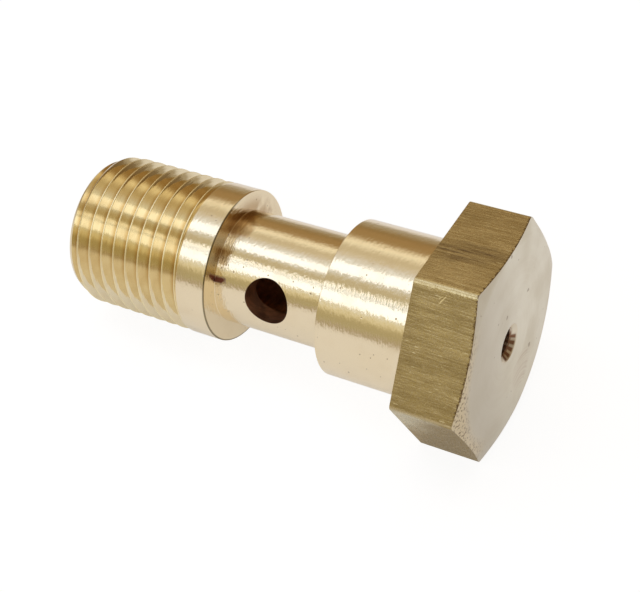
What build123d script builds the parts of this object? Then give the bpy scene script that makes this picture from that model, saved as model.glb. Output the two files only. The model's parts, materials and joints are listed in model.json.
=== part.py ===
from build123d import *
from math import atan2, ceil, cos, degrees, isclose, radians, sin, sqrt, tan
import os

# Banjo bolt, turned in one piece from drawn brass hexagon bar.
# It is modelled upright about Z, with z = 0 at the bearing face under the head: the head
# is above that face and the shank below it. At the end it is laid down as it comes to rest.
# Lengths are in millimetres and angles in degrees.

# Head
across_flats = 13.0
head_height = 4.05
bar_corner_radius = 0.35      # the drawn bar's own rounded corners
chamfer_circle = 12.9         # diameter inside which the head's end is flat
chamfer_angle = 15.5          # of the turned corners, from the end face

# Centre hole in the head's end, blind
centre_hole_diameter = 1.72
centre_hole_depth = 3.0
countersink_diameter = 2.4    # of its 90 degree mouth

# Shank, from the head to the free end
journal_diameter = 9.75       # the banjo's ring seats on it
journal_length = 6.1
neck_diameter = 7.2           # the fluid runs round here, inside the ring
neck_length = 7.6
land_diameter = 9.75
land_length = 2.0
thread_length = 8.35          # with its run-out and its end chamfer
root_bevel = 0.05             # in the inner corners, left by the turning tool
edge_break = 0.07             # on the sharp edges of journal and land

# Thread G 1/8, right-hand: Whitworth form, 28 turns to the inch
thread_diameter = 9.728
thread_pitch = 25.4 / 28
flank_angle = 27.5            # half of the 55 degree form
blank_diameter = 9.72         # turned just under size, so each crest keeps a narrow flat
run_out = 0.4                 # the length over which the last turn fades into the land
end_chamfer_diameter = 8.74
end_chamfer_angle = 28.0      # from the axis
first_groove = 0.12           # how far below the free end the groove crosses the +X side

# Passages for the fluid
bore_diameter = 4.5
bore_overrun = 0.6            # how far the full bore goes past the cross hole
bore_chamfer = 0.3            # at its mouth, 45 degrees
drill_point = 59.0            # half of a twist drill's point angle
cross_hole_diameter = 2.95    # drilled right through the neck
cross_hole_offset = 0.18      # from the middle of the neck, towards the thread
cross_hole_turn = 254.0       # about Z, from the flat that the bolt lies on

# Stations along the axis
neck_top = -journal_length
neck_bottom = neck_top - neck_length
thread_top = neck_bottom - land_length
free_end = thread_top - thread_length
last_crest = free_end + (blank_diameter - end_chamfer_diameter) / 2 / tan(radians(end_chamfer_angle))
cross_hole_z = (neck_top + neck_bottom) / 2 - cross_hole_offset

# Whitworth triangle, a sixth of it cut off at the crest and at the root
flank = radians(flank_angle)
triangle_height = thread_pitch / (2 * tan(flank))
thread_depth = triangle_height * 2 / 3
crest = thread_diameter / 2
root = crest - thread_depth
clearance = 1.0               # by which cutters reach outside the metal


def turned(*points):
    """The solid that an outline of (radius, z) points makes about Z."""
    outline = Polyline([(radius, 0, z) for radius, z in points], close=True)
    return revolve(make_face(outline), axis=Axis.Z)


def make_head():
    """The hexagon, with a flat towards +X and its outer corners turned to a cone."""
    hexagon = RegularPolygon(across_flats / 2, 6, major_radius=False, rotation=30)
    hexagon = fillet(hexagon.vertices(), bar_corner_radius)
    corner = across_flats / sqrt(3)
    rim = chamfer_circle / 2
    drop = (corner - rim) * tan(radians(chamfer_angle))
    envelope = turned(
        (0, 0),
        (corner, 0),
        (corner, head_height - drop),
        (rim, head_height),
        (0, head_height),
    )
    return extrude(hexagon, head_height) & envelope


def make_shank():
    """Journal, neck and land, down to where the thread starts."""
    journal = journal_diameter / 2
    neck = neck_diameter / 2
    land = land_diameter / 2
    shank = turned(
        (0, head_height / 2),
        (journal, head_height / 2),
        (journal, neck_top + edge_break),
        (journal - edge_break, neck_top),
        (neck, neck_top),
        (neck, neck_bottom),
        (land - edge_break, neck_bottom),
        (land, neck_bottom - edge_break),
        (land, thread_top),
        (0, thread_top),
    )
    neck_ends = [edge for edge in shank.edges().filter_by(GeomType.CIRCLE) if isclose(edge.radius, neck)]
    return chamfer(neck_ends, root_bevel)


def groove_profile():
    """The space between two turns, flat at the root: X runs along the bolt's axis, Y is the radius."""
    mouth = crest + triangle_height / 9
    root_half = triangle_height / 6 * tan(flank)
    mouth_half = root_half + (mouth - root) * tan(flank)
    return make_face(
        Polyline(
            (-root_half, root),
            (root_half, root),
            (mouth_half, mouth),
            (-mouth_half, mouth),
            close=True,
        )
    )


def make_thread():
    """The blank with the groove cut along it, chamfered at the end and run out at the land."""
    start = free_end - first_groove - thread_pitch
    turns = ceil(thread_length / thread_pitch) + 2
    path = Helix(thread_pitch, turns * thread_pitch, crest, center=(0, 0, start))
    across = Plane(origin=(0, 0, start), x_dir=(0, 0, 1), z_dir=(0, 1, 0))
    groove = sweep(across * groove_profile(), path=path, is_frenet=True)
    blank = blank_diameter / 2
    blank_bar = Cylinder(blank, thread_length, align=(Align.CENTER, Align.CENTER, Align.MIN))
    end_rim = end_chamfer_diameter / 2
    chamfer_slope = tan(radians(end_chamfer_angle))
    chamfered = turned(
        (0, thread_top + clearance),
        (blank + clearance, thread_top + clearance),
        (blank + clearance, free_end + (blank + clearance - end_rim) / chamfer_slope),
        (end_rim, free_end),
        (0, free_end),
    )
    run_out_cone = turned((0, thread_top), (blank, thread_top), (0, thread_top - blank * run_out / thread_depth))
    return ((Pos(0, 0, free_end) * blank_bar - groove) & chamfered) + run_out_cone


def bore_cutter():
    """The axial bore from the free end, past the cross hole to its drill point."""
    radius = bore_diameter / 2
    top = cross_hole_z + cross_hole_diameter / 2 + bore_overrun
    return turned(
        (0, free_end - clearance),
        (radius + bore_chamfer + clearance, free_end - clearance),
        (radius, free_end + bore_chamfer),
        (radius, top),
        (0, top + radius / tan(radians(drill_point))),
    )


def centre_hole_cutter():
    """The blind centre hole in the head's end, with its countersink."""
    radius = centre_hole_diameter / 2
    rim = countersink_diameter / 2
    bottom = head_height - centre_hole_depth
    return turned(
        (0, head_height + clearance),
        (rim + clearance, head_height + clearance),
        (radius, head_height - rim + radius),
        (radius, bottom),
        (0, bottom - radius / tan(radians(drill_point))),
    )


def cross_hole_cutter():
    """The cross hole, through both walls of the neck."""
    drill = Rotation(0, 90, 0) * Cylinder(cross_hole_diameter / 2, neck_diameter + clearance)
    return Pos(0, 0, cross_hole_z) * Rotation(0, 0, cross_hole_turn) * drill


def laid_down(part):
    """On a flat's inner edge and on the thread's last full crest, above the origin."""
    lean = degrees(atan2((across_flats - blank_diameter) / 2, -last_crest))
    part = Rotation(0, 90 - lean, 0) * part
    box = part.bounding_box()
    return Pos(-box.center().X, -box.center().Y, -box.min.Z) * part


bolt = make_head() + make_shank()
under_head = [
    edge
    for edge in bolt.edges().filter_by(GeomType.CIRCLE)
    if isclose(edge.radius, journal_diameter / 2) and isclose(edge.center().Z, 0, abs_tol=1e-6)
]
bolt = chamfer(under_head, root_bevel)
bolt = bolt + make_thread() - bore_cutter() - cross_hole_cutter() - centre_hole_cutter()

os.makedirs("parts", exist_ok=True)
export_step(laid_down(bolt), "parts/banjo_bolt.step")
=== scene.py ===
import json
from math import atan2, ceil, cos, hypot, pi, radians, sin, sqrt, tan

import bmesh
import bpy
from mathutils import Matrix, Vector


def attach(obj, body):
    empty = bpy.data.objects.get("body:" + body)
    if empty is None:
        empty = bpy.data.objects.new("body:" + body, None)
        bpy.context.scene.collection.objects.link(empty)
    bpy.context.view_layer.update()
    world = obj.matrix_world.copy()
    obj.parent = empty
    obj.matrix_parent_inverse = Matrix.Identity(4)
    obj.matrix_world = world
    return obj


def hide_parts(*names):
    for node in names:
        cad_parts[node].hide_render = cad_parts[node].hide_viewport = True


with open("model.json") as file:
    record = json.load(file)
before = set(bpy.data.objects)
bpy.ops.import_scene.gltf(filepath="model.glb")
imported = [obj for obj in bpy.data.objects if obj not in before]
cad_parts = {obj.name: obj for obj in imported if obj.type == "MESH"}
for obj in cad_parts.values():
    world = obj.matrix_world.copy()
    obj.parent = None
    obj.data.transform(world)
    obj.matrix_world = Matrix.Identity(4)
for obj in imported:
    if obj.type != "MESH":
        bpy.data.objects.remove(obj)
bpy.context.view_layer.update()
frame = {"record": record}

mounts = {mount["name"]: mount for mount in frame["record"]["mounts"]}

# The bolt is modelled upright in millimetres about Z: head up, z = 0 at the bearing face.
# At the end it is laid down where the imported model's mounts say.

millimetre = 0.001
clearance = 1.0                  # how far a cutting shape reaches past what it cuts
slack = 0.01                     # how far off a border a face's middle may lie
tolerance = 0.0001               # below it, two coordinates are the same
weldReach = 0.0005               # vertices nearer than this become one
smoothAngle = 32.0               # edges sharper than this stay sharp in the shading

head = {
    "acrossFlats": 13.0,
    "height": 4.05,
    "cornerRadius": 0.35,        # the drawn bar's own corners
    "flatCircle": 12.9,          # the end is flat inside it
    "chamferAngle": 15.5,
    "edgeSoftness": 0.04,
    "rimSoftness": 0.15,
    "hole": 1.72,
    "holeDepth": 3.0,
    "countersink": 2.4,
    "holeSoftness": 0.03,
    "throatSoftness": 0.02,      # where the countersink meets the hole
    "drillPoint": 59.0,
}

shank = {
    "journal": 9.75,
    "journalLength": 6.1,
    "neck": 7.2,
    "neckLength": 7.6,
    "land": 9.75,
    "landLength": 2.0,
    "innerCorner": 0.05,
    "landCorner": 0.03,
    "edgeSoftness": 0.05,
    "around": 256,               # segments round the axis
}

thread = {
    "diameter": 9.72,
    "pitch": 25.4 / 28,
    "length": 8.35,
    "flankAngle": 27.5,
    "crestFlat": 0.065,
    "rootRadius": 0.05,
    "runOut": 0.4,
    "endDiameter": 8.74,
    "endAngle": 28.0,            # of the end chamfer, from the axis
    "endSoftness": 0.05,
    "firstGroove": 0.12,         # the groove's centre below the free end, on the +X side
    "around": 144,
    "arcSteps": 4,
}

passage = {
    "bore": 4.5,
    "boreSoftness": 0.1,
    "mouth": 0.3,
    "mouthSoftness": 0.03,
    "overrun": 0.6,
    "crossHole": 2.95,
    "crossOffset": 0.18,         # from the neck's middle towards the thread
    "crossTurn": 254.0,          # about Z, from the flat that the bolt lies on
    "drillPoint": 59.0,
    "around": 96,
}

neckTop = -shank["journalLength"]
neckBottom = neckTop - shank["neckLength"]
threadTop = neckBottom - shank["landLength"]
freeEnd = threadTop - thread["length"]
crossHoleZ = (neckTop + neckBottom) / 2 - passage["crossOffset"]


def deselectAll():
    if bpy.context.object and bpy.context.object.mode != "OBJECT":
        bpy.ops.object.mode_set(mode="OBJECT")
    bpy.ops.object.select_all(action="DESELECT")


def makeActive(piece):
    deselectAll()
    piece.select_set(True)
    bpy.context.view_layer.objects.active = piece


def startEditing(piece):
    makeActive(piece)
    bpy.ops.object.mode_set(mode="EDIT")
    bpy.ops.mesh.select_mode(type="VERT")
    bpy.ops.mesh.select_all(action="SELECT")


def selectWhere(piece, part, test):
    # part is verts, edges or faces; test says which of them to select
    bpy.ops.mesh.select_all(action="DESELECT")
    bpy.ops.mesh.select_mode(type={"verts": "VERT", "edges": "EDGE", "faces": "FACE"}[part])
    mesh = bmesh.from_edit_mesh(piece.data)
    for element in getattr(mesh, part):
        element.select_set(test(element))
    bmesh.update_edit_mesh(piece.data)


def traceOutline(name, corners):
    # corners are (radius, z, rounding): one vertex is extruded from each to the next
    deselectAll()
    bpy.ops.mesh.primitive_plane_add(size=1)
    outline = bpy.context.object
    outline.name = name
    startEditing(outline)
    bpy.ops.mesh.merge(type="CENTER")
    radius, z, _ = corners[0]
    bpy.ops.transform.translate(value=(radius, 0, z))
    for nextRadius, nextZ, _ in corners[1:]:
        step = (nextRadius - radius, 0, nextZ - z)
        bpy.ops.mesh.extrude_region_move(TRANSFORM_OT_translate={"value": step})
        radius, z = nextRadius, nextZ
    return outline


def isAtAny(point, tips):
    return any((point - tip).length < tolerance for tip in tips)


def roundCorners(outline, corners, steps):
    for rounding in sorted({corner[2] for corner in corners} - {0}):
        tips = [Vector((radius, 0, z)) for radius, z, size in corners if size == rounding]
        selectWhere(outline, "verts", lambda vertex: isAtAny(vertex.co, tips))
        bpy.ops.mesh.bevel(offset=rounding, segments=steps, profile=0.5, affect="VERTICES")


def weld(piece):
    startEditing(piece)
    bpy.ops.mesh.remove_doubles(threshold=weldReach)
    bpy.ops.mesh.normals_make_consistent(inside=False)
    bpy.ops.object.mode_set(mode="OBJECT")


def turnSolid(name, corners, around, steps=4):
    # what a lathe would leave: the outline, its corners rounded, spun about Z
    piece = traceOutline(name, corners)
    roundCorners(piece, corners, steps)
    bpy.ops.mesh.select_all(action="SELECT")
    bpy.ops.mesh.spin(steps=around, angle=2 * pi, center=(0, 0, 0), axis=(0, 0, 1))
    weld(piece)
    return piece


def trim(low, high, fill):
    # in edit mode: cuts off what is below low and what is above high
    for height, above in ((low, False), (high, True)):
        bpy.ops.mesh.select_all(action="SELECT")
        bpy.ops.mesh.bisect(
            plane_co=(0, 0, height),
            plane_no=(0, 0, 1),
            clear_inner=not above,
            clear_outer=above,
            use_fill=fill,
        )


def applyModifier(piece, kind, **settings):
    makeActive(piece)
    bpy.ops.object.modifier_add(type=kind)
    modifier = piece.modifiers[-1]
    for name, value in settings.items():
        setattr(modifier, name, value)
    bpy.ops.object.modifier_apply(modifier=modifier.name)


def combine(piece, tool, operation):
    applyModifier(piece, "BOOLEAN", operation=operation, solver="EXACT", object=tool)
    bpy.data.objects.remove(tool, do_unlink=True)


def isUpright(edge):
    return abs(edge.verts[0].co.z - edge.verts[1].co.z) > tolerance


def isAtBearing(edge):
    return max(vertex.co.z for vertex in edge.verts) < tolerance


def makeHead():
    corner = head["acrossFlats"] / sqrt(3)
    tall = head["height"] + clearance
    deselectAll()
    bpy.ops.mesh.primitive_cylinder_add(vertices=6, radius=corner, depth=tall, location=(0, 0, tall / 2))
    piece = bpy.context.object
    piece.name = "bolt"
    bpy.ops.object.transform_apply(location=True, rotation=True, scale=True)
    startEditing(piece)
    selectWhere(piece, "edges", isUpright)
    bpy.ops.mesh.bevel(offset=head["cornerRadius"] * tan(radians(30)), segments=6, profile=0.5)
    selectWhere(piece, "edges", isAtBearing)
    bpy.ops.mesh.bevel(offset=head["edgeSoftness"], segments=2, profile=0.5)
    bpy.ops.object.mode_set(mode="OBJECT")

    rim = head["flatCircle"] / 2
    outside = corner + clearance
    sink = head["countersink"] / 2
    drill = head["hole"] / 2
    bottom = head["height"] - head["holeDepth"]
    envelope = [
        (0, -clearance, 0),
        (outside, -clearance, 0),
        (outside, head["height"] - (outside - rim) * tan(radians(head["chamferAngle"])), 0),
        (rim, head["height"], head["rimSoftness"]),
        (sink, head["height"], head["holeSoftness"]),
        (drill, head["height"] - sink + drill, head["throatSoftness"]),
        (drill, bottom, head["holeSoftness"]),
        (0, bottom - drill / tan(radians(head["drillPoint"])), 0),
    ]
    combine(piece, turnSolid("headEnvelope", envelope, shank["around"]), "INTERSECT")
    return piece


def makeShank():
    journal = shank["journal"] / 2
    neck = shank["neck"] / 2
    land = shank["land"] / 2
    inner = shank["innerCorner"]
    soft = shank["edgeSoftness"]
    sunk = 0.3                   # how far the shank goes on inside the head
    seat = 0.01                  # how far the fillet under the head starts inside it
    hold = 0.12                  # keeps the shading of the land straight
    under = 0.02                 # how far the run-out's cone starts under the crests
    crest = thread["diameter"] / 2
    core = crest - clearance     # a cone down to it, inside the thread, makes the run-out
    runOut = thread["runOut"] * (crest - core) / (crest - threadProfile()[1])
    corners = [
        (0, sunk, 0),
        (journal + 2 * inner, sunk, 0),
        (journal + 2 * inner, seat, 0),
        (journal, seat, inner),
        (journal, neckTop, soft),
        (neck, neckTop, inner),
        (neck, neckBottom, shank["landCorner"]),
        (land, neckBottom, soft),
        (land, neckBottom - hold, 0),
        (land, threadTop + hold, 0),
        (land, threadTop, soft / 2),
        (crest - under, threadTop, 0),
        (core, threadTop - runOut, 0),
        (0, threadTop - runOut, 0),
    ]
    return turnSolid("shank", corners, shank["around"])


def threadProfile():
    # the full triangle's tip and foot as radii, then how far along its sides from them
    # the tip is cut and the foot rounded
    flank = radians(thread["flankAngle"])
    half = thread["crestFlat"] / 2
    tip = thread["diameter"] / 2 + half / tan(flank)
    foot = tip - thread["pitch"] / (2 * tan(flank))
    return tip, foot, half / sin(flank), thread["rootRadius"] / tan(flank)


def makeThread():
    # one pitch of the thread's triangle, carried along by the Screw modifier
    pitch = thread["pitch"]
    crest = thread["diameter"] / 2
    low = freeEnd - thread["firstGroove"] - pitch
    spareTurns = 3
    spareEnd = 0.4               # past the free end, for the envelope to cut
    sunk = 0.3                   # how far the thread goes on inside the land
    tip, foot, tipReach, footReach = threadProfile()
    corners = [
        (tip, low - pitch / 2, tipReach),
        (foot, low, footReach),
        (tip, low + pitch / 2, tipReach),
        (foot, low + pitch, footReach),
    ]
    piece = traceOutline("thread", corners)
    roundCorners(piece, corners[1:2], thread["arcSteps"])
    roundCorners(piece, corners[2:3], 1)
    # the first and last halves are cut off at the flanks' middles, one pitch apart
    trim(low - pitch / 4, low + pitch * 3 / 4, fill=False)
    applyModifier(
        piece,
        "SCREW",
        angle=2 * pi,
        screw_offset=pitch,
        iterations=ceil(thread["length"] / pitch) + spareTurns,
        steps=thread["around"],
        render_steps=thread["around"],
    )
    weld(piece)
    startEditing(piece)
    trim(freeEnd - spareEnd, threadTop + sunk, fill=True)
    weld(piece)

    rim = thread["endDiameter"] / 2
    outside = crest + clearance
    slope = tan(radians(thread["endAngle"]))
    envelope = [
        (0, threadTop + clearance, 0),
        (outside, threadTop + clearance, 0),
        (outside, freeEnd + (outside - rim) / slope, 0),
        (rim, freeEnd, thread["endSoftness"]),
        (0, freeEnd, 0),
    ]
    combine(piece, turnSolid("threadEnvelope", envelope, thread["around"]), "INTERSECT")
    return piece


def drillPassages(piece):
    radius = passage["bore"] / 2
    top = crossHoleZ + passage["crossHole"] / 2 + passage["overrun"]
    mouth = radius + passage["mouth"]
    bore = [
        (0, freeEnd - clearance, 0),
        (mouth + clearance, freeEnd - clearance, 0),
        (radius, freeEnd + passage["mouth"], passage["mouthSoftness"]),
        (radius, top, passage["boreSoftness"]),
        (0, top + radius / tan(radians(passage["drillPoint"])), 0),
    ]
    combine(piece, turnSolid("axialDrill", bore, passage["around"]), "DIFFERENCE")
    deselectAll()
    bpy.ops.mesh.primitive_cylinder_add(
        vertices=passage["around"],
        radius=passage["crossHole"] / 2,
        depth=shank["neck"] + 2 * clearance,
        location=(0, 0, crossHoleZ),
        rotation=(0, radians(90), radians(passage["crossTurn"])),
    )
    drill = bpy.context.object
    bpy.ops.object.transform_apply(location=True, rotation=True, scale=True)
    combine(piece, drill, "DIFFERENCE")


bolt = makeHead()
print("head made:", len(bolt.data.vertices), "vertices")
combine(bolt, makeShank(), "UNION")
print("shank joined:", len(bolt.data.vertices), "vertices")
combine(bolt, makeThread(), "UNION")
print("thread joined:", len(bolt.data.vertices), "vertices")
drillPassages(bolt)
print("passages drilled:", len(bolt.data.vertices), "vertices")


# Finishes. Their patterns are drawn in the upright bolt's own millimetres, which boltPlace works out.

origin = (0.0, 0.0, 0.0)


def addNode(tree, kind, where, **settings):
    node = tree.nodes.new(kind)
    node.location = where
    for key, value in settings.items():
        setattr(node, key, value)
    return node


def feed(tree, socket, source):
    # a socket takes either a link or a plain value
    if isinstance(source, bpy.types.NodeSocket):
        tree.links.new(source, socket)
    else:
        socket.default_value = source


def feedByName(tree, node, sources):
    for name, source in sources.items():
        feed(tree, node.inputs[name], source)
    return node.outputs


def feedInOrder(tree, node, sources):
    for socket, source in zip(node.inputs, sources):
        feed(tree, socket, source)
    return node.outputs


def calc(tree, operation, where, *sources):
    node = addNode(tree, "ShaderNodeMath", where, operation=operation)
    return feedInOrder(tree, node, sources)[0]


def calcVector(tree, operation, where, *sources):
    node = addNode(tree, "ShaderNodeVectorMath", where, operation=operation)
    return feedInOrder(tree, node, sources)


def splitAxes(tree, where, vector):
    return feedInOrder(tree, addNode(tree, "ShaderNodeSeparateXYZ", where), [vector])


def ramp(tree, where, value, low, high, start=0.0, end=1.0):
    # value from low to high becomes start to end, eased
    node = addNode(tree, "ShaderNodeMapRange", where, interpolation_type="SMOOTHSTEP")
    sources = {"Value": value, "From Min": low, "From Max": high, "To Min": start, "To Max": end}
    return feedByName(tree, node, sources)["Result"]


def blend(tree, where, factor, first, second, kind="MIX"):
    node = addNode(tree, "ShaderNodeMix", where, data_type="RGBA", blend_type=kind)
    return feedByName(tree, node, {"Factor": factor, "A": first, "B": second})["Result"]


def mapped(tree, where, vector, kind, values):
    node = addNode(tree, "ShaderNodeMapping", where, vector_type=kind)
    return feedByName(tree, node, {"Vector": vector, **values})["Vector"]


def inRadians(angles):
    return [radians(angle) for angle in angles]


def noiseOf(tree, where, values):
    return feedByName(tree, addNode(tree, "ShaderNodeTexNoise", where), values)["Fac"]


def product(tree, where, first, *others):
    x, y = where
    for column, other in enumerate(others):
        first = calc(tree, "MULTIPLY", (x + 150 * column, y), first, other)
    return first


def facing(tree, where, turn, angle):
    # 1 where the turn about the axis is this angle, down to -1 across from it
    x, y = where
    return calc(tree, "COSINE", where, calc(tree, "SUBTRACT", (x - 150, y), turn, radians(angle)))


def newGroup(name, inputs, outputs):
    group = bpy.data.node_groups.new(name, "ShaderNodeTree")
    for label, value in inputs.items():
        kind = "NodeSocketVector" if isinstance(value, tuple) else "NodeSocketFloat"
        socket = group.interface.new_socket(name=label, in_out="INPUT", socket_type=kind)
        socket.default_value = value
    for label, kind in outputs.items():
        group.interface.new_socket(name=label, in_out="OUTPUT", socket_type=kind)
    given = addNode(group, "NodeGroupInput", (-1400, 0))
    result = addNode(group, "NodeGroupOutput", (600, 0))
    return group, given.outputs, result


def place(tree, group, where, values):
    return feedByName(tree, addNode(tree, "ShaderNodeGroup", where, node_tree=group), values)


def restPlace():
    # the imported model's mounts give the axis and the middle of the head
    axis = -Vector(mounts["journal"]["axis"])
    middle = Vector(mounts["hexagon"]["pos_m"])
    return (0, atan2(axis.x, axis.z), 0), middle - axis * head["height"] / 2 * millimetre


def boltPlaceGroup():
    # undoes what layDown will do, and gives the radius and the turn about the axis as well
    number = "NodeSocketFloat"
    outputs = {"Vector": "NodeSocketVector", "Radius": number, "Turn": number, "Along": number}
    tree, given, result = newGroup("boltPlace", {"Object": origin}, outputs)
    lean, seat = restPlace()
    laid = {"Location": seat, "Rotation": lean, "Scale": (millimetre, millimetre, millimetre)}
    upright = mapped(tree, (-1100, 0), given["Object"], "TEXTURE", laid)
    x, y, z = splitAxes(tree, (-800, 0), upright)
    squares = [calc(tree, "MULTIPLY", (-600, 300), x, x), calc(tree, "MULTIPLY", (-600, 100), y, y)]
    radius = calc(tree, "SQRT", (-200, 200), calc(tree, "ADD", (-400, 200), *squares))
    turn = calc(tree, "ARCTAN2", (-400, -100), y, x)
    feedByName(tree, result, {"Vector": upright, "Radius": radius, "Turn": turn, "Along": z})
    return tree


def turnedMarksGroup():
    # fine rings round the axis, each with its own height, that fade in and out along their way
    inputs = {"Radius": 0.0, "Turn": 0.0, "Along": 0.0, "Spacing": 0.1, "Lead": 0.0, "Runs": 2.0}
    tree, given, result = newGroup("turnedMarks", inputs, {"Height": "NodeSocketFloat"})
    lead = calc(tree, "DIVIDE", (-1250, -400), given["Lead"], 2 * pi)
    climb = calc(tree, "MULTIPLY", (-1100, -300), given["Turn"], lead)
    outline = calc(tree, "ADD", (-1000, 200), given["Along"], given["Radius"])
    across = calc(tree, "SUBTRACT", (-800, 100), outline, climb)
    ring = calc(tree, "DIVIDE", (-600, 100), across, given["Spacing"])
    cosine = calc(tree, "COSINE", (-800, -100), given["Turn"])
    sine = calc(tree, "SINE", (-800, -300), given["Turn"])
    sideways = calc(tree, "MULTIPLY", (-600, -100), cosine, given["Runs"])
    endways = calc(tree, "MULTIPLY", (-600, -300), sine, given["Runs"])
    joined = addNode(tree, "ShaderNodeCombineXYZ", (-350, 0))
    vector = feedInOrder(tree, joined, (ring, sideways, endways))[0]
    height = noiseOf(tree, (-150, 0), {"Vector": vector, "Scale": 1.0, "Detail": 2.0})
    feedByName(tree, result, {"Height": height})
    return tree


def flecksGroup():
    # small separate marks, one to a cell; Share says how many of the cells have one
    inputs = {"Vector": origin, "Density": 5.0, "Share": 0.2, "Size": 0.3}
    tree, given, result = newGroup("flecks", inputs, {"Mask": "NodeSocketFloat"})
    node = addNode(tree, "ShaderNodeTexVoronoi", (-900, 0))
    cells = feedByName(tree, node, {"Vector": given["Vector"], "Scale": given["Density"]})
    chances = feedInOrder(tree, addNode(tree, "ShaderNodeSeparateColor", (-650, 200)), [cells["Color"]])
    marked = calc(tree, "LESS_THAN", (-400, 200), chances[0], given["Share"])
    # each fleck has its own size, from 0.4 to 1.4 of Size, and fades over its outer half
    growth = calc(tree, "ADD", (-550, -100), chances[1], 0.4)
    size = calc(tree, "MULTIPLY", (-400, -200), given["Size"], growth)
    core = calc(tree, "MULTIPLY", (-300, -350), size, 0.5)
    near = ramp(tree, (-200, -100), cells["Distance"], core, size, 1.0, 0.0)
    feedByName(tree, result, {"Mask": calc(tree, "MULTIPLY", (200, 0), marked, near)})
    return tree


def patchesGroup():
    # soft uneven areas
    inputs = {"Vector": origin, "Density": 1.0, "Low": 0.4, "High": 0.7, "Detail": 3.0}
    tree, given, result = newGroup("patches", inputs, {"Mask": "NodeSocketFloat"})
    sources = {"Vector": given["Vector"], "Scale": given["Density"], "Detail": given["Detail"]}
    noise = noiseOf(tree, (-700, 0), sources)
    feedByName(tree, result, {"Mask": ramp(tree, (-300, 0), noise, given["Low"], given["High"])})
    return tree


def spotGroup():
    # one ragged spot at a place on the bolt
    inputs = {"Vector": origin, "Centre": origin, "Size": (1.0, 1.0, 1.0), "Ragged": 0.5, "Density": 4.0}
    tree, given, result = newGroup("spot", inputs, {"Mask": "NodeSocketFloat"})
    apart = calcVector(tree, "SUBTRACT", (-1000, 100), given["Vector"], given["Centre"])["Vector"]
    scaled = calcVector(tree, "DIVIDE", (-800, 100), apart, given["Size"])["Vector"]
    far = calcVector(tree, "LENGTH", (-600, 100), scaled)["Value"]
    noise = noiseOf(tree, (-800, -200), {"Vector": given["Vector"], "Scale": given["Density"]})
    # the noise lies about 0.5, and Ragged moves the spot's edge in and out by it; the spot is full
    # up to 0.6 of its size and gone past 1.1
    wander = calc(tree, "SUBTRACT", (-600, -200), noise, 0.5)
    edge = calc(tree, "ADD", (-100, 0), far, product(tree, (-400, -200), wander, given["Ragged"], 2.0))
    feedByName(tree, result, {"Mask": ramp(tree, (0, 0), edge, 0.6, 1.1, 1.0, 0.0)})
    return tree


boltPlace = boltPlaceGroup()
turnedMarks = turnedMarksGroup()
flecks = flecksGroup()
patches = patchesGroup()
spot = spotGroup()


def drawPattern(tree, where, at, group, values):
    # a pattern may first be stretched along the bolt and leaned, in degrees
    values = dict(values)
    scale = values.pop("stretch", None)
    lean = values.pop("lean", (0, 0, 0))
    if group is turnedMarks:
        measures = {name: at[name] for name in ("Radius", "Turn", "Along")}
        return place(tree, group, where, {**measures, **values})["Height"]
    vector = at["Vector"]
    if scale:
        x, y = where
        vector = mapped(tree, (x - 200, y), vector, "POINT", {"Scale": scale, "Rotation": inRadians(lean)})
    return place(tree, group, where, {"Vector": vector, **values})["Mask"]


def startFinish(name, settings):
    # a new brass, where each point lies on the bolt, and the brass's patterns by name
    finish = bpy.data.materials.new(name)
    finish.use_nodes = True
    tree = finish.node_tree
    coordinates = addNode(tree, "ShaderNodeTexCoord", (-2400, 0))
    at = place(tree, boltPlace, (-2200, 0), {"Object": coordinates.outputs["Object"]})
    marks = {}
    for row, (label, (group, values)) in enumerate(settings["patterns"].items()):
        marks[label] = drawPattern(tree, (-1800, 300 - 250 * row), at, group, values)
    return finish, tree, at, marks


def addUp(tree, where, total, marks, amounts):
    x, y = where
    for column, (label, amount) in enumerate(amounts.items()):
        total = calc(tree, "MULTIPLY_ADD", (x + 200 * column, y), marks[label], amount, total)
    return total


def endFinish(finish, settings, marks):
    # a coat without a mark lies evenly
    tree = finish.node_tree
    shader = tree.nodes["Principled BSDF"]
    colour = settings[settings["ground"]]
    for column, (label, strength, coat) in enumerate(settings["coats"]):
        x = 100 * column - 1300
        factor = marks.get(label, strength)
        if label and strength != 1:
            factor = calc(tree, "MULTIPLY", (x - 150, 300), factor, strength)
        colour = blend(tree, (x, 600), factor, colour, settings[coat])
    bump = addNode(tree, "ShaderNodeBump", (-300, -400))
    bump.inputs["Distance"].default_value = settings["depth"] * millimetre
    height = addUp(tree, (-1200, -300), marks[settings["relief"]], marks, settings["higher"])
    surface = {
        "Base Color": colour,
        "Metallic": 1.0,
        "Roughness": addUp(tree, (-1200, 0), settings["roughness"], marks, settings["rougher"]),
        "Normal": feedByName(tree, bump, {"Height": height})["Normal"],
    }
    feedByName(tree, shader, surface)
    return finish


# In a finish's settings, a pattern's values are named as its group's sockets. A fade is what it goes
# from and to, and then the strengths there if not 0 and 1. The ground colour lies under the coats, and
# a coat is a mark, how strongly it shows and its colour. The relief is the mark that the height starts
# from, rougher and higher say what each mark adds, and depth is how far a height of 1 stands proud.
# The fades of the painted highlight's gap or of a side are by the cosine of the angle from it.

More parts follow.
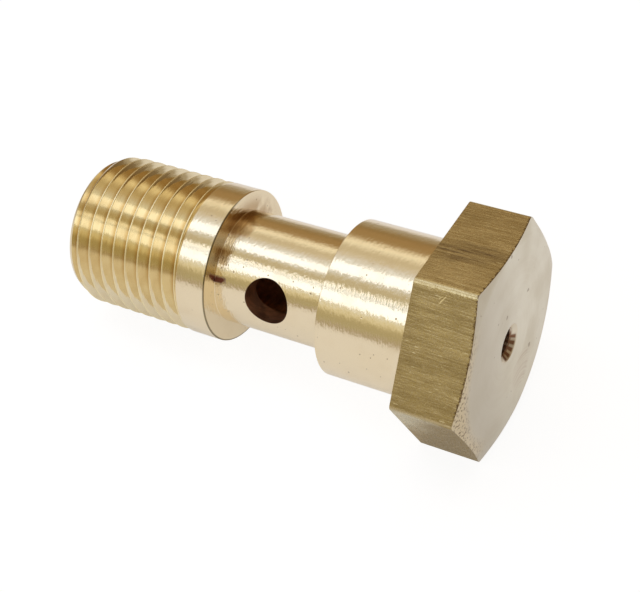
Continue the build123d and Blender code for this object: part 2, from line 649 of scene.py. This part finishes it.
turned = {
    "brass": (0.90, 0.78, 0.55, 1),
    "dull": (0.76, 0.60, 0.36, 1),
    "pit": (0.30, 0.19, 0.10, 1),
    "stain": (0.20, 0.07, 0.05, 1),
    "tarnish": (0.50, 0.33, 0.16, 1),
    "edge": (0.16, 0.12, 0.05, 1),
    "patterns": {
        "rings": (turnedMarks, {"Spacing": 0.11, "Runs": 1.5}),
        "hair": (turnedMarks, {"Spacing": 0.13, "Runs": 12.0}),
        "smudges": (patches, {"Density": 0.55, "Low": 0.45, "High": 0.75}),
        "pits": (flecks, {"Density": 3.2, "Share": 0.22, "Size": 0.17}),
        "stain": (
            spot,
            {"Centre": (-1.52, -3.26, -13.40), "Size": (0.24, 0.24, 0.50), "Ragged": 0.9, "Density": 2.5},
        ),
        "tarnish": (
            spot,
            {"Centre": (-3.6, 0.2, -13.5), "Size": (2.5, 4.4, 1.0), "Ragged": 1.0, "Density": 0.8},
        ),
    },
    "neckFade": (shank["land"] / 2 - 0.1, shank["neck"] / 2 + 0.2, 0.0, 0.75),   # only there is it tarnished
    "highlightGapAt": -154.0,             # painted highlight: a bright gap across the tarnish, along the neck at this turn about Z
    "highlightGapFade": (cos(radians(5)), cos(radians(11)), 0.1, 1.0),
    # darker along the land's rim on the side of the neck, towards the front, by height, radius and y
    "edgeFade": (0.09, 0.03),
    "rimFade": (shank["land"] / 2 - 0.12, shank["land"] / 2 - 0.05),
    "frontFade": (1.0, -1.0, 0.0, 0.85),
    "ground": "brass",
    "coats": [
        ("smudges", 0.22, "dull"),
        ("pits", 0.75, "pit"),
        ("tarnish", 1, "tarnish"),
        ("stain", 1, "stain"),
        ("edge", 1, "edge"),
    ],
    "roughness": 0.10,
    "rougher": {"smudges": 0.05, "rings": 0.05, "stain": 0.35},
    "relief": "rings",
    "higher": {"hair": 4.0, "pits": -2.0},
    "depth": 0.0035,
}


def turnedFinish():
    finish, tree, at, marks = startFinish("turnedBrass", turned)
    onNeck = ramp(tree, (-1300, -500), at["Radius"], *turned["neckFade"])
    # painted highlight: the tarnish is left out along a narrow band down the neck
    fromHighlightGap = facing(tree, (-1550, -1250), at["Turn"], turned["highlightGapAt"])
    highlightGap = ramp(tree, (-1400, -1250), fromHighlightGap, *turned["highlightGapFade"])
    marks["tarnish"] = product(tree, (-1250, -950), marks["tarnish"], highlightGap, onNeck)
    fromEdge = calc(tree, "SUBTRACT", (-1700, 900), at["Along"], neckBottom)
    fromEdge = calc(tree, "ABSOLUTE", (-1550, 900), fromEdge)
    onEdge = ramp(tree, (-1400, 900), fromEdge, *turned["edgeFade"])
    onRim = ramp(tree, (-1400, 1100), at["Radius"], *turned["rimFade"])
    y = splitAxes(tree, (-1700, 1300), at["Vector"])["Y"]
    inFront = ramp(tree, (-1400, 1300), y, *turned["frontFade"])
    marks["edge"] = product(tree, (-1250, 900), onEdge, onRim, inFront)
    return endFinish(finish, turned, marks)


threaded = {
    "brass": (0.88, 0.775, 0.535, 1),
    # painted highlight: the crests are lighter than the brass
    "crest": (0.96, 0.84, 0.52, 1),
    "dull": (0.72, 0.55, 0.28, 1),
    # darker in the roots: dirt and painted shade
    "root": (0.62, 0.43, 0.18, 1),
    "patterns": {
        "rings": (turnedMarks, {"Spacing": 0.10, "Lead": thread["pitch"], "Runs": 2.5}),
        "smudges": (patches, {"Density": 0.7, "Low": 0.4, "High": 0.75}),
    },
    # by the distance from the axis
    "crestFade": (4.82, thread["diameter"] / 2 - 0.015),
    "rootDirtAndShadeFade": (4.45, 4.15, 0.0, 0.5),
    "ground": "brass",
    "coats": [("smudges", 0.35, "dull"), ("rootDirtAndShade", 1, "root"), ("crests", 1, "crest")],
    "roughness": 0.065,
    "rougher": {"smudges": 0.06, "rings": 0.05, "crests": 0.28},
    "relief": "rings",
    "higher": {},
    "depth": 0.0090,
}


def threadedFinish():
    finish, tree, at, marks = startFinish("threadedBrass", threaded)
    # painted highlight along the crests, which are also rougher
    marks["crests"] = ramp(tree, (-1400, 500), at["Radius"], *threaded["crestFade"])
    # dirt and painted shade in the roots
    marks["rootDirtAndShade"] = ramp(tree, (-1400, 700), at["Radius"], *threaded["rootDirtAndShadeFade"])
    return endFinish(finish, threaded, marks)


drawn = {
    "brass": (0.60, 0.47, 0.24, 1),
    "dark": (0.34, 0.25, 0.11, 1),
    "light": (0.72, 0.59, 0.33, 1),
    "worn": (0.68, 0.56, 0.31, 1),
    "bright": (0.95, 0.80, 0.45, 1),
    "dirt": (0.20, 0.14, 0.08, 1),
    # painted shadow towards the end of the flat that faces down
    "brown": (0.24, 0.14, 0.00, 1),
    # painted shadow of the burr where the end was faced off
    "burrShadow": (0.12, 0.07, 0.03, 1),
    # painted reflection of the floor on the flat that faces down
    "paintedFloorReflection": (0.60, 0.56, 0.42, 1),
    "grazing": (1.0, 0.975, 0.88, 1),
    "patterns": {
        "lines": (patches, {"stretch": (9, 9, 0.55), "Density": 1.0, "Low": 0.3, "High": 0.7}),
        "fine": (patches, {"stretch": (26, 26, 1.8), "Density": 1.0, "Low": 0.3, "High": 0.7}),
        "broad": (patches, {"Density": 0.5, "Low": 0.35, "High": 0.7}),
        "grain": (patches, {"Density": 9.0, "Low": 0.35, "High": 0.7, "Detail": 5.0}),
        "hairs": (
            flecks,
            {"stretch": (6, 6, 0.9), "lean": (8, -14, 0), "Density": 1.0, "Share": 0.55, "Size": 0.17},
        ),
        "dots": (flecks, {"Density": 5.0, "Share": 0.25, "Size": 0.22}),
        "bands": (patches, {"stretch": (1.8, 1.8, 0.22), "Density": 1.0, "Low": 0.42, "High": 0.62}),
    },
    # the drawing streaks make up the shade between dark and light
    "linesShare": 0.65,
    "fineShare": 0.35,
    # the flat that faces down towards the front: painted pale by the shank as a reflection of the floor, and
    # brown by the end as a painted shadow
    "lowerFlat": (0.5, -0.866, 0),
    "lowerFade": (6.40, 6.50),
    "paintedShadowWay": (0.4, 0, 0.5),   # the direction in which the painted shadow grows
    "paintedShadowBroken": 0.5,
    "paintedShadowFade": (1.1, 2.2),
    "aboveFade": (5.6, 6.3, 1.0, 0.25),   # wear and the burr's painted shadow are fainter on that flat
    # marks on the flats: centre, lean and flat in degrees, half width and half length, strength
    "streaks": [
        ((-6.5, -0.52, 2.0), 12.5, 180, 0.22, 2.1, 1.0),
        ((-6.5, -1.12, 1.95), 13.0, 180, 0.15, 2.2, 0.70),
        ((-6.5, -0.60, 2.2), 10.0, 180, 0.95, 3.2, 0.50),
    ],
    "streaksBroken": (0.85, 0.15, 0.35, 1.0),
    "scratches": [
        ((-5.85, -4.13, 1.83), 57.0, 240, 0.035, 0.34, 1.0),
        ((-5.97, -4.06, 1.72), 38.0, 240, 0.025, 0.16, 0.7),
    ],
    "markDepth": 0.3,            # how far a mark's spot reaches in and out of its flat
    "markEdge": {"Ragged": 0.7, "Density": 1.6},
    "cornerFade": (7.345, 7.405),   # the worn band on the corners, by the distance from the axis
    "cornerBroken": -0.05,       # how far the grain shifts it
    "burrShadowBroken": 0.13,
    "burrShadowFade": (-0.06, 0.03),   # from below the chamfer's cone to past it
    "ground": "dark",
    "coats": [
        ("shade", 1, "light"),
        (None, 0.40, "brass"),
        ("broad", 0.35, "dark"),
        ("bands", 0.40, "dark"),
        ("grain", 0.16, "dirt"),
        # the flat that faces down: a painted reflection of the floor, then a painted shadow
        ("under", 0.7, "paintedFloorReflection"),
        ("brown", 1, "brown"),
        ("streaks", 1, "dirt"),
        ("hairs", 1, "worn"),
        ("dots", 0.5, "light"),
        ("worn", 0.85, "worn"),
        # painted shadow of the burr
        ("burrShadow", 0.9, "burrShadow"),
        ("scratches", 1, "bright"),
    ],
    "roughness": 0.24,
    "rougher": {"grain": 0.10, "worn": -0.06, "scratches": 0.25},
    "relief": "shade",
    "higher": {"grain": 0.5, "hairs": -0.8},
    "depth": 0.006,
}


def markFlats(tree, vector, lines, low):
    # the strongest of several long thin marks, each a spot in its own frame on a flat
    strongest = 0.0
    for row, (centre, lean, flat, width, length, strength) in enumerate(lines):
        y = low - 250 * row
        size = (drawn["markDepth"], width, length)
        onFlat = {"Location": centre, "Rotation": inRadians((lean, 0, flat)), "Scale": size}
        inFrame = mapped(tree, (-2000, y), vector, "TEXTURE", onFlat)
        mark = place(tree, spot, (-1800, y), {"Vector": inFrame, **drawn["markEdge"]})["Mask"]
        mark = calc(tree, "MULTIPLY", (-1600, y), mark, strength)
        strongest = calc(tree, "MAXIMUM", (-1400, y), mark, strongest)
    return strongest


def drawnFinish():
    finish, tree, at, marks = startFinish("drawnBrass", drawn)
    tree.nodes["Principled BSDF"].inputs["Specular Tint"].default_value = drawn["grazing"]
    lines = calc(tree, "MULTIPLY", (-1550, 400), marks["lines"], drawn["linesShare"])
    marks["shade"] = calc(tree, "MULTIPLY_ADD", (-1400, 400), marks["fine"], drawn["fineShare"], lines)
    lower = calcVector(tree, "DOT_PRODUCT", (-1700, -1500), at["Vector"], drawn["lowerFlat"])["Value"]
    # painted reflection of the floor on the flat that faces down
    marks["under"] = ramp(tree, (-1500, -1500), lower, *drawn["lowerFade"])
    # painted shadow, brown, towards the end of that flat
    brown = calcVector(tree, "DOT_PRODUCT", (-1700, -1700), at["Vector"], drawn["paintedShadowWay"])["Value"]
    brown = calc(tree, "MULTIPLY_ADD", (-1500, -1700), marks["broad"], drawn["paintedShadowBroken"], brown)
    brown = ramp(tree, (-1300, -1700), brown, *drawn["paintedShadowFade"])
    marks["brown"] = product(tree, (-1100, -1600), marks["under"], brown)
    broken = ramp(tree, (-1350, 100), marks["lines"], *drawn["streaksBroken"])
    streaks = markFlats(tree, at["Vector"], drawn["streaks"], -1900)
    marks["streaks"] = product(tree, (-1200, 100), streaks, broken)
    marks["scratches"] = markFlats(tree, at["Vector"], drawn["scratches"], -2700)
    above = ramp(tree, (-1300, -1450), lower, *drawn["aboveFade"])
    corners = calc(tree, "MULTIPLY_ADD", (-1200, -100), marks["grain"], drawn["cornerBroken"], at["Radius"])
    corners = ramp(tree, (-1000, -100), corners, *drawn["cornerFade"])
    marks["worn"] = product(tree, (-850, -100), corners, above)
    # the burr's painted shadow, a dark line where the end was faced off: cone is the same all over the
    # chamfer, and less below it
    slope = tan(radians(head["chamferAngle"]))
    top = head["height"] + head["flatCircle"] / 2 * slope
    low, high = drawn["burrShadowFade"]
    cone = calc(tree, "MULTIPLY_ADD", (-1400, -1200), at["Radius"], slope, at["Along"])
    cone = calc(tree, "MULTIPLY_ADD", (-1200, -1200), marks["grain"], drawn["burrShadowBroken"], cone)
    burrShadow = ramp(tree, (-1000, -1200), cone, top + low, top + high)
    marks["burrShadow"] = product(tree, (-800, -1200), burrShadow, above)
    return endFinish(finish, drawn, marks)


faced = {
    "brass": (0.84, 0.80, 0.66, 1),
    "dull": (0.76, 0.71, 0.57, 1),
    # painted shade on the end's lower side
    "shade": (0.66, 0.61, 0.49, 1),
    "gold": (0.74, 0.61, 0.38, 1),
    "brown": (0.46, 0.32, 0.20, 1),
    "dirt": (0.26, 0.18, 0.10, 1),
    "patterns": {
        "rings": (turnedMarks, {"Spacing": 0.28, "Runs": 0.8}),
        "fine": (turnedMarks, {"Spacing": 0.05, "Runs": 3.0}),
        "broad": (patches, {"Density": 0.35, "Low": 0.35, "High": 0.7}),
        "grain": (patches, {"Density": 6.0, "Low": 0.54, "High": 0.60, "Detail": 3.0}),
        "nicks": (flecks, {"Density": 2.4, "Share": 0.16, "Size": 0.14}),
        "arcs": (
            spot,
            {"Centre": (3.6, 1.9, 4.05), "Size": (1.5, 1.4, 1.0), "Ragged": 0.4, "Density": 1.0},
        ),
    },
    "shadeFade": (2.5, -4.5),    # painted shade, darker towards the lower side, by y
    "faintFade": (0.42, 0.58),
    # faint arcs about a centre of their own
    "arcCentre": (5.6, 1.5, 4.05),
    "arcRings": {"Spacing": 0.16, "Runs": 0.0},
    "arcFade": (0.42, 0.60, 0.08, 0.34),
    # the chamfer is rough and golden on the lower side, with dirt in its hollows
    "roughFade": (5.4, 6.5),     # by the distance from the axis
    "roughSide": -86.0,          # about Z
    "roughSideFade": (0.55, 0.9),
    # larger nicks: place and size
    "dings": [
        ((2.83, 3.14, 4.05), 0.20),
        ((-1.9, 2.72, 4.05), 0.16),
        ((-6.33, 0.16, 4.0), 0.12),
        ((-2.3, -0.4, 4.05), 0.14),
    ],
    "dingEdge": {"Ragged": 0.9, "Density": 5.0},
    "ground": "brass",
    "coats": [
        ("broad", 1, "dull"),
        ("shadedLowerSide", 1, "shade"),
        ("faint", 0.04, "brown"),
        ("arcs", 1, "brown"),
        ("chamfer", 0.75, "gold"),
        ("mottle", 0.85, "dirt"),
        ("nicks", 0.6, "dirt"),
    ],
    "roughness": 0.30,
    "rougher": {"broad": 0.08},
    "relief": "rings",
    "higher": {"fine": 0.3, "mottle": 2.0, "nicks": -3.0},
    "depth": 0.0035,
}


def facedFinish():
    finish, tree, at, marks = startFinish("facedBrass", faced)
    y = splitAxes(tree, (-1700, 700), at["Vector"])["Y"]
    # painted shade: the end is darker towards its lower side
    marks["shadedLowerSide"] = ramp(tree, (-1300, 700), y, *faced["shadeFade"])
    marks["faint"] = ramp(tree, (-1400, 300), marks["rings"], *faced["faintFade"])
    away = calcVector(tree, "DISTANCE", (-1800, -2250), at["Vector"], faced["arcCentre"])["Value"]
    curves = place(tree, turnedMarks, (-1600, -2250), {"Radius": away, **faced["arcRings"]})["Height"]
    curves = ramp(tree, (-1400, -2250), curves, *faced["arcFade"])
    marks["arcs"] = product(tree, (-1200, -1500), marks["arcs"], curves)
    outer = ramp(tree, (-1400, 100), at["Radius"], *faced["roughFade"])
    side = facing(tree, (-1550, -100), at["Turn"], faced["roughSide"])
    side = ramp(tree, (-1400, -100), side, *faced["roughSideFade"])
    marks["chamfer"] = product(tree, (-1300, 100), outer, side)
    marks["mottle"] = product(tree, (-1200, 0), marks["chamfer"], marks["grain"])
    for row, (centre, size) in enumerate(faced["dings"]):
        low = -1250 - 220 * row
        values = {"Centre": centre, "Size": (size, size, size), **faced["dingEdge"]}
        ding = drawPattern(tree, (-1500, low), at, spot, values)
        marks["nicks"] = calc(tree, "MAXIMUM", (-1200, low), marks["nicks"], ding)
    return endFinish(finish, faced, marks)


bored = {
    "brass": (0.66, 0.36, 0.19, 1),
    "dark": (0.26, 0.13, 0.07, 1),
    "patterns": {
        "rings": (turnedMarks, {"Spacing": 0.25, "Runs": 1.0}),
        "broad": (patches, {"Density": 0.9, "Low": 0.3, "High": 0.7}),
    },
    "scoreFade": (0.4, 0.65),
    "ground": "brass",
    "coats": [("broad", 1, "dark"), ("scores", 0.4, "dark")],
    "roughness": 0.45,
    "rougher": {"rings": 0.2},
    "relief": "rings",
    "higher": {},
    "depth": 0.008,
}


def boredFinish():
    finish, tree, _, marks = startFinish("boredBrass", bored)
    marks["scores"] = ramp(tree, (-1200, 200), marks["rings"], *bored["scoreFade"])
    return endFinish(finish, bored, marks)


drilled = {
    # the centre hole: its countersink is bright, and the wall turns red-brown
    "brass": (0.84, 0.77, 0.62, 1),
    "dark": (0.25, 0.135, 0.08, 1),
    "patterns": {"rings": (turnedMarks, {"Spacing": 0.2, "Runs": 1.5})},
    # the wall's brown fades out a little way up the countersink
    "wallFade": (head["hole"] / 2 + 0.14, head["hole"] / 2 + 0.02),
    "bandFade": (0.38, 0.56, 0.35, 1.0),
    # brown chatter marks across the lower side of the countersink, short of its rim
    "chatters": 16,              # in a full turn
    "chatterFade": (-0.9, 0.4, 0.35, 1.0),
    "chatterAt": 28.0,           # where they are strongest, about Z
    "chatterSideFade": (0.45, 0.7),
    "rimFade": (head["countersink"] / 2 - 0.02, head["countersink"] / 2 - 0.09),
    "ground": "brass",
    "coats": [("brown", 1, "dark")],
    "roughness": 0.30,
    "rougher": {"rings": 0.15},
    "relief": "rings",
    "higher": {},
    "depth": 0.006,
}


def drilledFinish():
    finish, tree, at, marks = startFinish("drilledBrass", drilled)
    deep = ramp(tree, (-1400, 0), at["Radius"], *drilled["wallFade"])
    bands = ramp(tree, (-1400, 300), marks["rings"], *drilled["bandFade"])
    brown = product(tree, (-1200, 300), bands, deep)
    across = calc(tree, "MULTIPLY", (-1700, -500), at["Turn"], drilled["chatters"])
    chatter = ramp(tree, (-1400, -500), calc(tree, "SINE", (-1550, -500), across), *drilled["chatterFade"])
    below = facing(tree, (-1550, -750), at["Turn"], drilled["chatterAt"])
    below = ramp(tree, (-1400, -750), below, *drilled["chatterSideFade"])
    inside = ramp(tree, (-1400, -1000), at["Radius"], *drilled["rimFade"])
    chatter = product(tree, (-1250, -600), chatter, below, inside)
    marks["brown"] = calc(tree, "MAXIMUM", (-1000, 300), brown, chatter)
    return endFinish(finish, drilled, marks)


def middleOf(face):
    middle = face.calc_center_median()
    return middle, hypot(middle.x, middle.y)


def inCrossHole(middle):
    # by its distance from the cross hole's own axis
    angle = radians(passage["crossTurn"])
    sideways = middle.y * cos(angle) - middle.x * sin(angle)
    return hypot(sideways, middle.z - crossHoleZ) < passage["crossHole"] / 2 + slack


def isBored(face):
    middle, radius = middleOf(face)
    inBore = radius < passage["bore"] / 2 + slack and freeEnd + slack < middle.z < neckTop
    return inBore or (radius < shank["neck"] / 2 - slack and inCrossHole(middle))


def isDrilled(face):
    middle, radius = middleOf(face)
    tip = head["height"] - head["holeDepth"] - head["hole"] / 2 / tan(radians(head["drillPoint"]))
    return radius < head["countersink"] / 2 + slack and tip < middle.z < head["height"] - slack / 2


def isThreaded(face):
    middle, radius = middleOf(face)
    return middle.z < threadTop - 2 * slack and radius > passage["bore"] / 2 + passage["mouth"] + slack


def isDrawn(face):
    middle, radius = middleOf(face)
    steep = abs(face.normal.z) < 0.6
    return steep and middle.z > slack and radius > shank["journal"] / 2 + clearance


def isFaced(face):
    middle, radius = middleOf(face)
    onHead = middle.z > -slack and radius > shank["journal"] / 2 + shank["innerCorner"]
    onEnd = middle.z > head["height"] / 2 and face.normal.z > 0.9
    return onEnd or (onHead and not isDrawn(face))


def giveFinish(piece, finish, test):
    piece.data.materials.append(finish)
    startEditing(piece)
    selectWhere(piece, "faces", test)
    piece.active_material_index = len(piece.data.materials) - 1
    bpy.ops.object.material_slot_assign()
    bpy.ops.object.mode_set(mode="OBJECT")


bolt.data.materials.clear()
bolt.data.materials.append(turnedFinish())
giveFinish(bolt, facedFinish(), isFaced)
giveFinish(bolt, drawnFinish(), isDrawn)
giveFinish(bolt, threadedFinish(), isThreaded)
giveFinish(bolt, boredFinish(), isBored)
giveFinish(bolt, drilledFinish(), isDrilled)
print("finishes given:", len(bolt.data.materials))


def layDown(piece):
    piece.rotation_euler, piece.location = restPlace()
    piece.scale = (millimetre, millimetre, millimetre)
    makeActive(piece)
    bpy.ops.object.transform_apply(location=True, rotation=True, scale=True)


layDown(bolt)
bpy.ops.object.shade_smooth_by_angle(angle=radians(smoothAngle))
applyModifier(bolt, "WEIGHTED_NORMAL", keep_sharp=True)

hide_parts("banjo_bolt")
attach(bolt, "root")
print("bolt laid down:", len(bolt.data.polygons), "faces")

camera = {
    "place": (0.031517, -0.053566, 0.062403),
    "aim": (0.001544, 0.0, 0.005196),
    "roll": -1.302,
    "lens": 76.77,
    "sensor": 36.0,
    "nearest": 0.001,
}


def placeCamera():
    data = bpy.data.cameras.new("camera")
    view = bpy.data.objects.new("camera", data)
    bpy.context.scene.collection.objects.link(view)
    data.lens = camera["lens"]
    data.sensor_width = camera["sensor"]
    data.clip_start = camera["nearest"]
    view.location = camera["place"]
    look = Vector(camera["aim"]) - Vector(camera["place"])
    level = look.to_track_quat("-Z", "Y").to_matrix().to_4x4()
    view.rotation_euler = (level @ Matrix.Rotation(radians(camera["roll"]), 4, "Z")).to_euler()
    bpy.context.scene.camera = view


placeCamera()

studio = {
    "floorSize": 1.6,
    # what the metal mirrors of the sheet under it, near the bolt and far off
    "paper": (0.686, 0.683, 0.725, 1),
    "farPaper": (0.52, 0.44, 0.30, 1),
    "paperReach": (0.03, 0.12),
    "mirroredWhite": (0.36, 0.10),
    "seenPaper": (0.20, 0.20, 0.20, 1),   # what the camera sees of it keeps a light shadow
    "seenWhite": 0.90,
    # the room round the bolt, by angle about X from straight above: minus towards the camera
    "room": [
        (-180, (0.60, 0.57, 0.50)),
        (-104, (0.66, 0.62, 0.54)),
        (-92, (0.50, 0.44, 0.31)),
        (-84, (0.45, 0.39, 0.23)),
        (-77, (0.48, 0.41, 0.24)),
        (-71, (0.76, 0.68, 0.46)),
        (-64, (0.78, 0.74, 0.60)),
        (-59, (0.62, 0.66, 0.72)),
        (-43, (0.62, 0.66, 0.72)),
        (-36, (0.70, 0.68, 0.60)),
        (-31, (0.53, 0.46, 0.31)),
        (-26, (0.57, 0.50, 0.35)),
        (-21, (0.66, 0.62, 0.54)),
        (-16, (0.62, 0.66, 0.74)),
        (-2, (0.66, 0.70, 0.80)),
        (2, (0.88, 0.92, 1.00)),
        (6, (0.78, 0.78, 0.82)),
        (11, (0.70, 0.65, 0.60)),
        (18, (0.66, 0.58, 0.44)),
        (24, (0.60, 0.52, 0.38)),
        (30, (0.72, 0.64, 0.50)),
        (36, (0.93, 0.86, 0.70)),
        (40, (0.98, 0.90, 0.74)),
        (44, (0.80, 0.70, 0.53)),
        (49, (0.46, 0.34, 0.20)),
        (56, (0.35, 0.23, 0.10)),
        (66, (0.37, 0.24, 0.11)),
        (75, (0.29, 0.19, 0.08)),
        (84, (0.37, 0.29, 0.18)),
        (92, (0.41, 0.35, 0.26)),
        (104, (0.58, 0.55, 0.50)),
        (180, (0.60, 0.57, 0.50)),
    ],
    # how much of that is left towards the room's two ends, by the direction's own x
    "ends": [
        (-1.0, (0.80, 0.74, 0.62)),
        (-0.75, (0.84, 0.78, 0.66)),
        (-0.58, (1.00, 1.00, 1.00)),
        (0.05, (1.00, 1.00, 1.00)),
        (0.35, (0.56, 0.48, 0.38)),
        (1.0, (0.60, 0.53, 0.44)),
    ],
    "distance": 0.6,
    "boxLight": (0.80, 0.84, 1.0),
    # name, angle about X as above, width in degrees, brightness, and from where to where along X
    "boxes": [
        ("frontBox", -52, 16, 0.98, -1.00, 0.12),
        ("frontEdge", -38.5, 7, 0.75, -1.00, -0.24),
        ("topBox", -8.5, 16, 0.95, -1.00, 0.12),
    ],
}


def addFloor():
    deselectAll()
    bpy.ops.mesh.primitive_plane_add(size=studio["floorSize"])
    floor = bpy.context.object
    floor.name = "floor"
    paper = bpy.data.materials.new("paper")
    paper.use_nodes = True
    tree = paper.node_tree
    path = addNode(tree, "ShaderNodeLightPath", (-900, 0)).outputs
    coordinates = addNode(tree, "ShaderNodeTexCoord", (-1300, 400)).outputs
    away = calcVector(tree, "LENGTH", (-1100, 400), coordinates["Object"])["Value"]
    fade = ramp(tree, (-900, 400), away, *studio["paperReach"])
    sheet = blend(tree, (-600, 400), fade, studio["paper"], studio["farPaper"])
    seen = calc(tree, "MULTIPLY", (-600, -100), path["Is Camera Ray"], studio["seenWhite"])
    white = ramp(tree, (-600, 100), fade, 0.0, 1.0, *studio["mirroredWhite"])
    surface = {
        "Base Color": blend(tree, (-300, 200), path["Is Camera Ray"], sheet, studio["seenPaper"]),
        "Roughness": 1.0,
        "Specular IOR Level": 0.0,
        "Emission Color": (1, 1, 1, 1),
        "Emission Strength": calc(tree, "MULTIPLY_ADD", (-300, -100), path["Is Glossy Ray"], white, seen),
    }
    feedByName(tree, tree.nodes["Principled BSDF"], surface)
    floor.data.materials.append(paper)


addFloor()


def addBox(name, angle, width, brightness, start, end):
    # a long soft box parallel to X; its power is what gives that brightness
    distance = studio["distance"]
    light = bpy.data.lights.new(name, "AREA")
    light.shape = "RECTANGLE"
    light.size = end - start
    light.size_y = 2 * distance * tan(radians(width / 2))
    light.energy = brightness * pi * light.size * light.size_y
    light.color = studio["boxLight"]
    lamp = bpy.data.objects.new(name, light)
    bpy.context.scene.collection.objects.link(lamp)
    lamp.location = ((start + end) / 2, distance * sin(radians(angle)), distance * cos(radians(angle)))
    lamp.rotation_euler = (-radians(angle), 0, 0)


for box in studio["boxes"]:
    addBox(*box)


def spreadOut(tree, where, value, span):
    # -span to span becomes 0 to 1
    node = addNode(tree, "ShaderNodeMapRange", where)
    return feedByName(tree, node, {"Value": value, "From Min": -span, "From Max": span})["Result"]


def fillRamp(tree, where, value, colours):
    # colours are (-1 to 1, colour); the stops sort themselves as they move, so colours come last
    node = addNode(tree, "ShaderNodeValToRGB", where)
    stops = node.color_ramp.elements
    while len(stops) < len(colours):
        stops.new(0.5)
    for stop, (position, _) in zip(stops, colours):
        stop.position = (position + 1) / 2
    for stop, (_, colour) in zip(stops, colours):
        stop.color = (*colour, 1)
    return feedByName(tree, node, {"Fac": value})["Color"]


def addRoom():
    world = bpy.data.worlds.new("room")
    bpy.context.scene.world = world
    world.use_nodes = True
    tree = world.node_tree
    coordinates = addNode(tree, "ShaderNodeTexCoord", (-1400, 0)).outputs
    x, y, z = splitAxes(tree, (-1200, 0), coordinates["Generated"])
    turn = spreadOut(tree, (-800, 0), calc(tree, "ARCTAN2", (-1000, 0), y, z), pi)
    around = fillRamp(tree, (-600, 0), turn, [(angle / 180, colour) for angle, colour in studio["room"]])
    ends = fillRamp(tree, (-600, -300), spreadOut(tree, (-800, -300), x, 1.0), studio["ends"])
    both = blend(tree, (-400, -100), 1.0, around, ends, "MULTIPLY")
    path = addNode(tree, "ShaderNodeLightPath", (-600, 300)).outputs
    seen = blend(tree, (-200, 100), path["Is Camera Ray"], both, (1, 1, 1, 1))
    feedByName(tree, tree.nodes["Background"], {"Color": seen})


addRoom()
print("studio set:", len(studio["boxes"]), "soft boxes")

bpy.context.scene.view_settings.view_transform = "Standard"
